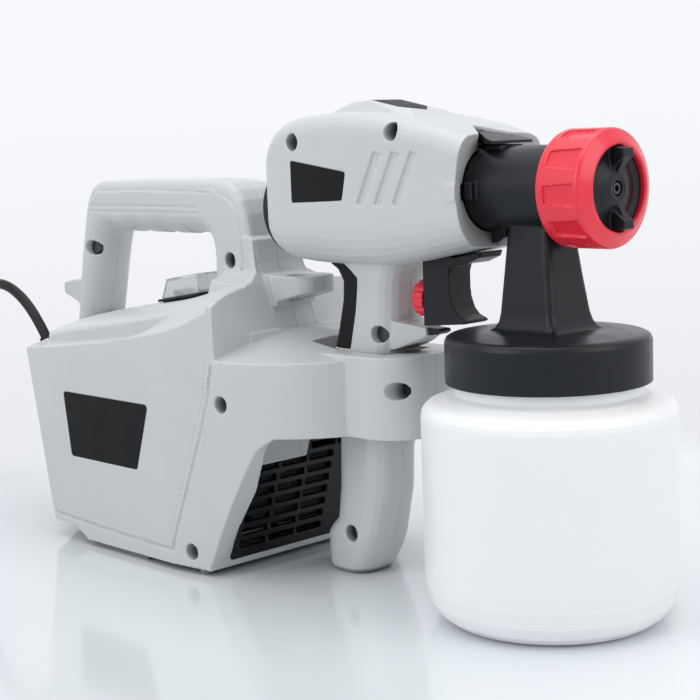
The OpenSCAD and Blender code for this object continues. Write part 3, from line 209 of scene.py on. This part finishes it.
def foam_material(name):
    """Open-celled filter foam."""
    m, tree, shader = new_material(name)
    where = tree.nodes.new("ShaderNodeTexCoord")
    cells = tree.nodes.new("ShaderNodeTexVoronoi")
    cells.inputs["Scale"].default_value = 900.0
    tree.links.new(where.outputs["Object"], cells.inputs["Vector"])
    tint = mixed(tree, cells.outputs["Distance"], (0.004, 0.004, 0.005), (0.03, 0.03, 0.034))
    tree.links.new(tint, shader.inputs["Base Color"])
    shader.inputs["Roughness"].default_value = 0.95
    bumped(tree, shader, cells.outputs["Distance"], 0.0006)
    return m


HOUSING = (0.60, 0.615, 0.625)
MATERIALS = {
    "housing": moulded_plastic("housing_plastic", HOUSING, 0.36, grain=1100.0, depth=0.000015, shade=0.97),
    "black_plastic": moulded_plastic(
        "black_plastic", (0.0085, 0.0105, 0.0135), 0.33, grain=700.0, shade=0.8, shine=0.27
    ),
    "nameplate": moulded_plastic(
        "blank_film", (0.0055, 0.0058, 0.0068), 0.46, grain=300.0, depth=0.000004, shade=0.9, shine=0.12
    ),
    "red_plastic": moulded_plastic(
        "red_plastic", (0.86, 0.026, 0.052), 0.30, grain=500.0, depth=0.000012, shade=0.9, coat=0.15
    ),
    "cup_plastic": milky_plastic("cup_polyethylene"),
    "clear_plastic": clear_plastic("clear_cover"),
    "rubber": moulded_plastic(
        "black_rubber", (0.007, 0.0075, 0.009), 0.55, grain=1300.0, depth=0.00004, shade=0.8, shine=0.2
    ),
    "foot_rubber": moulded_plastic("grey_rubber", (0.30, 0.31, 0.33), 0.7, depth=0.00004, shade=0.85),
    "cord": moulded_plastic("cord_sheath", (0.006, 0.006, 0.0075), 0.36, shade=0.8, shine=0.22),
    "foam": foam_material("filter_foam"),
    "turbine_metal": metal("cast_aluminium", (0.62, 0.63, 0.65), 0.42, grain=260.0),
    "motor_metal": moulded_plastic(
        "motor_paint", (0.06, 0.062, 0.068), 0.45, grain=400.0, depth=0.00003, shade=0.85
    ),
    "steel": metal("turned_steel", (0.62, 0.62, 0.64), 0.25, stretch=(1, 8, 8)),
    "dark_steel": metal("blackened_steel", (0.10, 0.10, 0.11), 0.38),
    "inner_plastic": moulded_plastic("inner_plastic", (0.20, 0.21, 0.22), 0.5, shade=0.9),
    "seal": moulded_plastic("seal", (0.72, 0.72, 0.70), 0.55, shade=0.9),
    "tube_plastic": moulded_plastic("tube_plastic", (0.78, 0.80, 0.81), 0.35, shade=0.94),
    "brass": metal("turned_brass", (0.72, 0.52, 0.22), 0.28, stretch=(1, 8, 8)),
    "nozzle_metal": metal("nozzle_metal", (0.09, 0.09, 0.10), 0.3, stretch=(1, 8, 8)),
}

SLOT_OF = {s["node"]: s["material_slot"] for s in frame["record"]["subparts"]}
for node_name, node_object in NODES.items():
    node_object.data.materials.clear()
    node_object.data.materials.append(MATERIALS[SLOT_OF[node_name]])

# ---------------------------------------------------------------- helpers for pieces


def body_of(node):
    return next(b for b, nodes in frame["record"]["behaviour"]["bodies"].items() if node in nodes)


def apply_modifiers(obj):
    bpy.context.view_layer.update()
    graph = bpy.context.evaluated_depsgraph_get()
    mesh = bpy.data.meshes.new_from_object(obj.evaluated_get(graph))
    obj.modifiers.clear()
    old, obj.data = obj.data, mesh
    bpy.data.meshes.remove(old)


def finish_piece(obj, name, body, slot, replaces=(), angle=None):
    obj.name = name
    obj.data.name = name
    obj.data.materials.clear()
    obj.data.materials.append(MATERIALS[slot])
    for p in obj.data.polygons:
        p.use_smooth = True
    if angle is not None:
        obj.data.set_sharp_from_angle(angle=math.radians(angle))
    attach(obj, body)
    if replaces:
        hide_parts(*replaces)
    return obj


def object_from(bm, name):
    mesh = bpy.data.meshes.new(name)
    bm.to_mesh(mesh)
    bm.free()
    obj = bpy.data.objects.new(name, mesh)
    bpy.context.collection.objects.link(obj)
    return obj


def copy_of(node):
    """A welded copy of a CAD node's mesh."""
    bm = bmesh.new()
    bm.from_mesh(NODES[node].data)
    bmesh.ops.remove_doubles(bm, verts=bm.verts, dist=1e-6)
    bmesh.ops.recalc_face_normals(bm, faces=bm.faces)
    return object_from(bm, node + "_copy")


SHIFT_X = -8.0  # from the drum's axis to the row's origin
ABOVE = 0.8  # how far a groove's cutter stands out of the surface


def solid(rings):
    """Closed mesh through rings of points, in mm from the drum's axis."""
    bm = bmesh.new()
    loops = [
        [bm.verts.new(((x + SHIFT_X) * MM, y * MM, z * MM)) for x, y, z in ring]
        for ring in rings
    ]
    for a, b in zip(loops, loops[1:]):
        for i in range(len(a)):
            j = (i + 1) % len(a)
            bm.faces.new((a[i], a[j], b[j], b[i]))
    bm.faces.new(loops[0][::-1])
    bm.faces.new(loops[-1])
    bmesh.ops.triangulate(bm, faces=bm.faces)
    bmesh.ops.recalc_face_normals(bm, faces=bm.faces)
    return object_from(bm, "tool")


def block(low, high):
    (x0, y0, z0), (x1, y1, z1) = low, high
    return solid([[(x0, y0, z), (x1, y0, z), (x1, y1, z), (x0, y1, z)] for z in (z0, z1)])


def groove(points, outward, width, depth):
    """Cutter for a square channel along points on a surface whose normal is outward."""
    line = [Vector(p) for p in points]
    normal = Vector(outward)
    corners = ((-1, -depth), (1, -depth), (1, ABOVE), (-1, ABOVE))
    rings = []
    for i, p in enumerate(line):
        way = (line[min(i + 1, len(line) - 1)] - line[max(i - 1, 0)]).normalized()
        side = way.cross(normal).normalized() * (width / 2)
        rings.append([tuple(p + side * a + normal * b) for a, b in corners])
    return solid(rings)


def softened(node, name, voxel, rounds, keep, cuts=(), adds=()):
    """The CAD node with moulded, rounded edges: cut, added to, remeshed, smoothed and thinned out again."""
    obj = copy_of(node)
    for tool in cuts:
        cut = obj.modifiers.new("cut", "BOOLEAN")
        cut.operation = "DIFFERENCE"
        cut.solver = "EXACT"
        cut.object = tool
        apply_modifiers(obj)
        bpy.data.objects.remove(tool)
    if adds:
        bm = bmesh.new()
        for piece in (obj, *adds):
            bm.from_mesh(piece.data)
        bm.to_mesh(obj.data)
        bm.free()
        for tool in adds:
            bpy.data.objects.remove(tool)
    remesh = obj.modifiers.new("remesh", "REMESH")
    remesh.mode = "VOXEL"
    remesh.voxel_size = voxel * MM
    smooth = obj.modifiers.new("smooth", "SMOOTH")
    smooth.factor = 0.5
    smooth.iterations = rounds
    thin = obj.modifiers.new("thin", "DECIMATE")
    thin.ratio = keep
    apply_modifiers(obj)
    return finish_piece(obj, name, body_of(node), SLOT_OF[node], [node])


# ---------------------------------------------------------------- lead

# Millimetres in the row frame
CORD_R = 3.15
CORD_POINTS = [
    (-194.3, -28, 80.8), (-202, -28, 90), (-209.7, -28, 99.2), (-216.1, -28, 106.9), (-224.4, -28, 116.4),
    (-233.5, -28, 124.8), (-244, -28, 131.6), (-257, -28, 136.6), (-271, -28, 137.6), (-285, -28, 133),
    (-296.5, -28.2, 122.5), (-304, -28.6, 108), (-309, -29, 91), (-312.5, -29.4, 73.5), (-314.5, -29.8, 56),
    (-317, -30.2, 39.5), (-321.5, -30.5, 24.5), (-328.5, -30.7, 12.5), (-337, -30.8, 5.4),
    (-346.6, -30.8, 3.05),
]
COIL_TURNS, COIL_IN_R, COIL_PITCH, COIL_LOW, COIL_TAIL = 3, 25.5, 7.9, 3.05, 24.0
COIL_AT = (-353.0, -30.8 - COIL_IN_R - COIL_TURNS * COIL_PITCH)
CLIMB_TURNS, COIL_STEPS, SPLINE_SPANS, SHORTEST_STEP = 0.5, 48, 6, 0.2


def spline_points(points, spans):
    """Smooth curve through listed points."""
    p = [np.array(v, float) for v in points]
    out = []
    for i in range(len(p) - 1):
        a, b, c, d = p[max(i - 1, 0)], p[i], p[i + 1], p[min(i + 2, len(p) - 1)]
        for k in range(spans):
            t = k / spans
            square, cube = 2 * a - 5 * b + 4 * c - d, 3 * b - a - 3 * c + d
            out.append(0.5 * (2 * b + (c - a) * t + square * t**2 + cube * t**3))
    return out + [p[-1]]


def coil_points(steps):
    """Flat coil wound inwards on the ground, then outwards on top of itself, with a straight end."""
    out = []
    for i in range(int((2 * COIL_TURNS + CLIMB_TURNS) * steps) + 1):
        turn = i / steps
        inward = turn < COIL_TURNS
        climbing = not inward and turn < COIL_TURNS + CLIMB_TURNS
        r = COIL_IN_R
        if inward:
            r += (COIL_TURNS - turn) * COIL_PITCH
        elif not climbing:
            r += (turn - COIL_TURNS - CLIMB_TURNS) * COIL_PITCH
        lift = 0 if inward else 1
        if climbing:
            lift = (1 - math.cos(math.pi * (turn - COIL_TURNS) / CLIMB_TURNS)) / 2
        a = math.radians(360 * turn + 90)
        x, y = COIL_AT[0] + r * math.cos(a), COIL_AT[1] + r * math.sin(a)
        out.append(np.array((x, y, COIL_LOW + lift * COIL_PITCH)))
    return out + [out[-1] + np.array((COIL_TAIL * k / 4, 0, 0)) for k in range(1, 5)]


def make_cord():
    points = spline_points(CORD_POINTS, SPLINE_SPANS) + coil_points(COIL_STEPS)
    apart = [b for a, b in zip(points, points[1:]) if np.linalg.norm(b - a) > SHORTEST_STEP]
    points = [points[0]] + apart
    curve = bpy.data.curves.new("mains_lead", "CURVE")
    curve.dimensions = "3D"
    spline = curve.splines.new("POLY")
    spline.points.add(len(points) - 1)
    for q, p in zip(spline.points, points):
        q.co = (*(p * MM), 1)
    curve.bevel_depth = CORD_R * MM
    curve.bevel_resolution = 6
    curve.use_fill_caps = True
    obj = bpy.data.objects.new("mains_lead", curve)
    bpy.context.collection.objects.link(obj)
    curve.materials.append(MATERIALS["cord"])
    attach(obj, "base")
    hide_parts("cord_run", "cord_coil")


make_cord()

# ---------------------------------------------------------------- pieces

# All sizes here are in millimetres from the drum's axis.
# Half widths of the carry handle, the base and the gun, height of the spray axis
HANDLE_Y, SIDE_Y, GUN_Y, AXIS_Z = 16.5, 69.0, 31.0, 198.0
# Width and depth of the grooves
SEAM_CUT, FINE_CUT, CREASE_CUT = (1.7, 1.3), (1.1, 0.9), (1.3, 1.0)
# Lines on the side of the base and of the handle, as (x, z)
FRONT_SEAM = [
    (0.5, 139.0), (0.9, 125.7), (0.9, 112.7), (-3.6, 93.9), (-10.3, 74.6), (-19.6, 50.6),
    (-31.9, 18.6), (-34.7, 10.4),
]
SEAM_APART = 3.4
SECOND_SEAM = [(x - SEAM_APART, z) for x, z in FRONT_SEAM[1:-1]]
PANEL_FOOT = [(-150, 16.2), (-142.7, 14.2), (-99.5, 12.1), (-61.4, 11.2), (-33, 10.6)]
HANDLE_CREASE = [
    (-172.2, 186.1), (-170.3, 192.2), (-163.2, 196.5), (-131, 197.2), (-82.8, 196.8), (-49.1, 195.8),
    (-42, 193.6), (-37.5, 190.5), (-33.8, 186), (-31.8, 180.9), (-29.8, 170), (-29.7, 159), (-32.1, 145.1),
]
GRIP_LINES = [[(-170.7, 188.0), (-66.8, 188.0)], [(-170.9, 184.6), (-66.5, 184.6)]]
# Half width of the side along x, and how far forward the wall stands at the handle along z
SIDE_TAPER = ((-33, -7, 4), (SIDE_Y, 66.1, 65.8))
WALL_BACK = ((112, 140, 149, 156, 171), (-2, -11.5, -15, -19.5, -21.5))
WALL_FRONT_X, WALL_OUT_Y = 3, 66


def side_at(x):
    """Half width of the base's side along its length."""
    return float(np.interp(x, *SIDE_TAPER))


def wall_front(y, z):
    """The front wall behind the holster: one hollow surface from the corner of the side to the handle."""
    back = np.interp(z, *WALL_BACK)
    t = np.interp(abs(y), (HANDLE_Y, WALL_OUT_Y), (0, 1))
    return float(back + (WALL_FRONT_X - back) * (0.75 * t + 0.25 * t * t))


SKIN_Y = (0.4, 8, 16, 18, 22, 27, 34, 40, 46, 52, 58, 65.6)
SKIN_TOP = ((16, 16.6, 27, 40, 52, 60, 66), (169, 155, 148.6, 147.4, 145.8, 144, 141.3))
SKIN_LOW, SKIN_THICK, SKIN_ROWS = 112, 5, 12


def wall_skin(side):
    """Fills in behind the front wall's surface, up to the edge of the deck."""
    rings = []
    for y in SKIN_Y:
        heights = np.linspace(SKIN_LOW, np.interp(y, *SKIN_TOP), SKIN_ROWS)
        front = [(wall_front(y, z), side * y, z) for z in heights]
        rings.append(front + [(x - SKIN_THICK, q, z) for x, q, z in reversed(front)])
    return solid(rings)


FRONT_CUT_X, FLANK_REAR_X, TOWER_CUT_TOP, CUT_ROWS = 14, -62, 176, 14
MIDDLE_Y, OUTER_Y = (-1, 14), (14, 18, 24, 30, 38)
ABOVE_DRUM, LUG_LOW, LUG_TOP = 124.5, 136.3, 152.4
BESIDE_HANDLE = [(16.55, 155), (21, 151.5), (27, 149.2), (40, 149), (40, 190), (16.55, 190)]


def wall_cuts(side):
    """What stands in front of the wall above and below the lug, and the flank beside the handle."""

    def front(y_values, low, high=TOWER_CUT_TOP):
        rings = []
        for y in y_values:
            line = [(wall_front(y, z), side * y, z) for z in np.linspace(low, high, CUT_ROWS)]
            rings.append(line + [(FRONT_CUT_X, side * y, z) for _, _, z in reversed(line)])
        return solid(rings)

    flank = solid([[(x, side * y, z) for y, z in BESIDE_HANDLE] for x in (FLANK_REAR_X, FRONT_CUT_X)])
    return [
        front(MIDDLE_Y, LUG_TOP), front(MIDDLE_Y, ABOVE_DRUM, LUG_LOW), front(OUTER_Y, ABOVE_DRUM), flank,
    ]


def base_tools(side):
    """The wall, the seams of the side and the creases of the carry handle."""
    out = (0, side, 0)
    cuts = wall_cuts(side)
    for line, size in ((FRONT_SEAM, SEAM_CUT), (SECOND_SEAM, FINE_CUT), (PANEL_FOOT, SEAM_CUT)):
        cuts.append(groove([(x, side * side_at(x), z) for x, z in line], out, *size))
    for line in (HANDLE_CREASE, *GRIP_LINES):
        cuts.append(groove([(x, side * HANDLE_Y, z) for x, z in line], out, *CREASE_CUT))
    return {"cuts": cuts, "adds": [wall_skin(side)]}


GILL_XS, GILL_Z, GILL_HALF, GILL_LEAN = (80.2, 92.2, 104.2), 203.5, 13.6, math.radians(27)
GILL_WIDE, GILL_DEEP, GILL_SHALLOW, GILL_CLEAR = 7.4, 1.6, 0.1, 2
NOTCH_REAR, NOTCH_LOW, NOTCH_HIGH = 131, 193.2, 201.2
NOTCH_FRONT = ((137.4, -30.4), (134.2, -22.6))


def gun_tools(side):
    """Gills that ramp out to the front. On the left, the lock notch in the rim is filled."""
    cuts = []
    for x in GILL_XS:
        rings = []
        for along in (-GILL_HALF, GILL_HALF):
            cx, cz = x + along * math.sin(GILL_LEAN), GILL_Z + along * math.cos(GILL_LEAN)
            corners = (
                (cx, GUN_Y - GILL_DEEP), (cx, GUN_Y + GILL_CLEAR),
                (cx + GILL_WIDE, GUN_Y + GILL_CLEAR), (cx + GILL_WIDE, GUN_Y - GILL_SHALLOW),
            )
            rings.append([(a, side * b, cz) for a, b in corners])
        cuts.append(solid(rings))
    adds = []
    if side < 0:
        adds.append(solid([
            [(NOTCH_REAR, y, NOTCH_LOW), (x, y, NOTCH_LOW), (x, y, NOTCH_HIGH), (NOTCH_REAR, y, NOTCH_HIGH)]
            for x, y in NOTCH_FRONT
        ]))
    return {"cuts": cuts, "adds": adds}


TOP_LUG_CUT = ((130, -12, AXIS_Z + 20), (150, 12, AXIS_Z + 40))
LEFT_LUG_CUT = ((130, -40, 190), (150, -22.4, 206))


def head_tools():
    """The top lug is cut off where the roof's tongue stands, and the left lug ends at the rim."""
    return {"cuts": [block(*TOP_LUG_CUT), block(*LEFT_LUG_CUT)]}


HORN_ROWS = ((4.6, 204.4, 0.7), (8, 206.6, 1.5), (13.8, 210.9, 3.0))  # radius, front, half width
HORN_REAR, HORN_NARROWS = 201.6, 0.8


def cap_tools():
    """The horns reach in towards the nozzle as wedges."""
    adds = []
    for side in (-1, 1):
        rings = []
        for r, front, half in HORN_ROWS:
            z, narrow = AXIS_Z + side * r, half * HORN_NARROWS
            corners = ((HORN_REAR, -half), (HORN_REAR, half), (front, narrow), (front, -narrow))
            rings.append([(x, y, z) for x, y in corners])
        adds.append(solid(rings))
    return {"adds": adds}


SHAPED = {
    "base_shell_left": base_tools(-1), "base_shell_right": base_tools(1), "gun_shell_left": gun_tools(-1),
    "gun_shell_right": gun_tools(1), "spray_head": head_tools(), "air_cap": cap_tools(),
}
# Node, voxel in mm, rounds of smoothing, share of the mesh kept
for node, voxel, rounds, keep in (
    ("base_shell_left", 0.6, 2, 0.15), ("base_shell_right", 0.6, 2, 0.15),
    ("gun_shell_left", 0.45, 3, 0.2), ("gun_shell_right", 0.45, 3, 0.2),
    ("spray_head", 0.45, 2, 0.22), ("trigger", 0.4, 4, 0.4), ("intake_grille", 0.4, 2, 0.5),
    ("grip_inlay", 0.4, 3, 0.5), ("union_nut", 0.35, 2, 0.4), ("air_cap", 0.3, 1, 0.5),
    ("guard_tip", 0.3, 3, 0.6), ("switch_rocker", 0.3, 3, 0.6), ("switch_boot", 0.25, 3, 0.6),
    ("switch_bezel", 0.3, 2, 0.6), ("flow_knob", 0.25, 2, 0.6), ("air_inlet", 0.4, 2, 0.5),
):
    softened(node, node + "_moulded", voxel, rounds, keep, **SHAPED.get(node, {}))

# Black tongue in the notch of the gun's roof: x, half width, top, underside
TONGUE = (
    (124.8, 0.5, 225.0, 219.2), (133, 6.6, 223.4, 219.0),
    (142.2, 13.6, 221.2, 218.8), (146.4, 14.4, 219.9, 218.6),
)
tongue = solid([
    [(x, -half, top), (x, half, top), (x, half, low), (x, -half, low)]
    for x, half, top, low in TONGUE
])
finish_piece(tongue, "roof_tongue", body_of("gun_shell_left"), "black_plastic", angle=30)

# ---------------------------------------------------------------- stage

VIEW_TURN = math.radians(AZIMUTH)
VIEW_WAY = Vector((-math.sin(VIEW_TURN), math.cos(VIEW_TURN), 0))
VIEW_SIDE = Vector((math.cos(VIEW_TURN), math.sin(VIEW_TURN), 0))
FLOOR_FADE, FLOOR_PAINTED_LIGHT_RANGE = (0.22, 0.31), (0.0, 0.24)
FLOOR_SIZE, FLOOR_DROP = 3.0, 0.0002


def place_along(tree, way):
    """Distance of the shaded point along a direction in the row frame."""
    where = tree.nodes.new("ShaderNodeNewGeometry")
    along = tree.nodes.new("ShaderNodeVectorMath")
    along.operation = "DOT_PRODUCT"
    along.inputs[1].default_value = way
    tree.links.new(where.outputs["Position"], along.inputs[0])
    return along.outputs["Value"]


def floor_material():
    """Pale glossy table top with painted light that makes it lighter to the right; it fades out a hand's
    width behind the base.
    """
    m, tree, shader = new_material("floor_surface")
    cloud = noise(tree, 3.0, 2.0)
    base = mixed(tree, ranged(tree, cloud, 0, 1), (0.66, 0.71, 0.73), (0.69, 0.735, 0.755))
    # Painted light: the floor colour is lighter towards the right
    left = ranged(tree, place_along(tree, VIEW_SIDE), 1, 0, *FLOOR_PAINTED_LIGHT_RANGE)
    base = mixed(tree, left, (0.84, 0.87, 0.89), base)
    tree.links.new(base, shader.inputs["Base Color"])
    tree.links.new(ranged(tree, noise(tree, 9.0), 0.09, 0.14), shader.inputs["Roughness"])
    fade = ranged(tree, place_along(tree, VIEW_WAY), 0, 1, *FLOOR_FADE)
    clear = tree.nodes.new("ShaderNodeBsdfTransparent")
    mix = tree.nodes.new("ShaderNodeMixShader")
    tree.links.new(fade, mix.inputs["Fac"])
    tree.links.new(shader.outputs[0], mix.inputs[1])
    tree.links.new(clear.outputs[0], mix.inputs[2])
    out = next(n for n in tree.nodes if n.type == "OUTPUT_MATERIAL")
    tree.links.new(mix.outputs[0], out.inputs["Surface"])
    return m


def make_floor():
    """One large plane just under the feet."""
    bm = bmesh.new()
    bmesh.ops.create_grid(bm, x_segments=1, y_segments=1, size=FLOOR_SIZE)
    floor = object_from(bm, "floor")
    floor.location = (0, 0, -FLOOR_DROP)
    floor.data.materials.append(floor_material())


WORLD_RISE = (-0.2, 0.02)


def make_world():
    """Soft white light, and a pale backdrop that only the camera, glass and glossy surfaces see."""
    world = bpy.data.worlds.new("studio")
    bpy.context.scene.world = world
    world.use_nodes = True
    tree = world.node_tree
    tree.nodes.clear()
    path = tree.nodes.new("ShaderNodeLightPath")
    light = tree.nodes.new("ShaderNodeBackground")
    light.inputs["Color"].default_value = (0.96, 0.975, 1.0, 1)
    light.inputs["Strength"].default_value = 0.55
    where = tree.nodes.new("ShaderNodeTexCoord")
    split = tree.nodes.new("ShaderNodeSeparateXYZ")
    tree.links.new(where.outputs["Generated"], split.inputs[0])
    rise = ranged(tree, split.outputs["Z"], 0, 1, *WORLD_RISE)
    seen = tree.nodes.new("ShaderNodeBackground")
    tree.links.new(mixed(tree, rise, (0.82, 0.83, 0.855), (0.94, 0.95, 0.985)), seen.inputs["Color"])
    seen.inputs["Strength"].default_value = 1.0
    shown = path.outputs["Is Camera Ray"]
    for ray in ("Is Transmission Ray", "Is Glossy Ray"):
        either = tree.nodes.new("ShaderNodeMath")
        either.operation = "MAXIMUM"
        tree.links.new(shown, either.inputs[0])
        tree.links.new(path.outputs[ray], either.inputs[1])
        shown = either.outputs[0]
    mix = tree.nodes.new("ShaderNodeMixShader")
    tree.links.new(shown, mix.inputs["Fac"])
    tree.links.new(light.outputs[0], mix.inputs[1])
    tree.links.new(seen.outputs[0], mix.inputs[2])
    out = tree.nodes.new("ShaderNodeOutputWorld")
    tree.links.new(mix.outputs[0], out.inputs["Surface"])


def area_light(name, at, target, size, power):
    data = bpy.data.lights.new(name, "AREA")
    data.shape = "RECTANGLE"
    data.size, data.size_y = size
    data.energy = power
    obj = bpy.data.objects.new(name, data)
    bpy.context.collection.objects.link(obj)
    obj.location = at
    obj.rotation_euler = (Vector(target) - Vector(at)).to_track_quat("-Z", "Y").to_euler()


# Place, target and size in metres, watts
LIGHTS = {
    "overhead": ((0.0, -0.1, 1.6), (0.0, 0.0, 0.1), (1.6, 1.6), 14.0),
    "front_left": ((-0.4, -1.7, 1.0), (0.0, 0.0, 0.1), (1.2, 1.2), 10.0),
    "right": ((1.6, 0.3, 0.9), (0.1, 0.0, 0.12), (1.0, 1.0), 7.0),
}
make_floor()
make_world()
for light_name, settings in LIGHTS.items():
    area_light(light_name, *settings)

bpy.context.scene.view_settings.view_transform = "Standard"
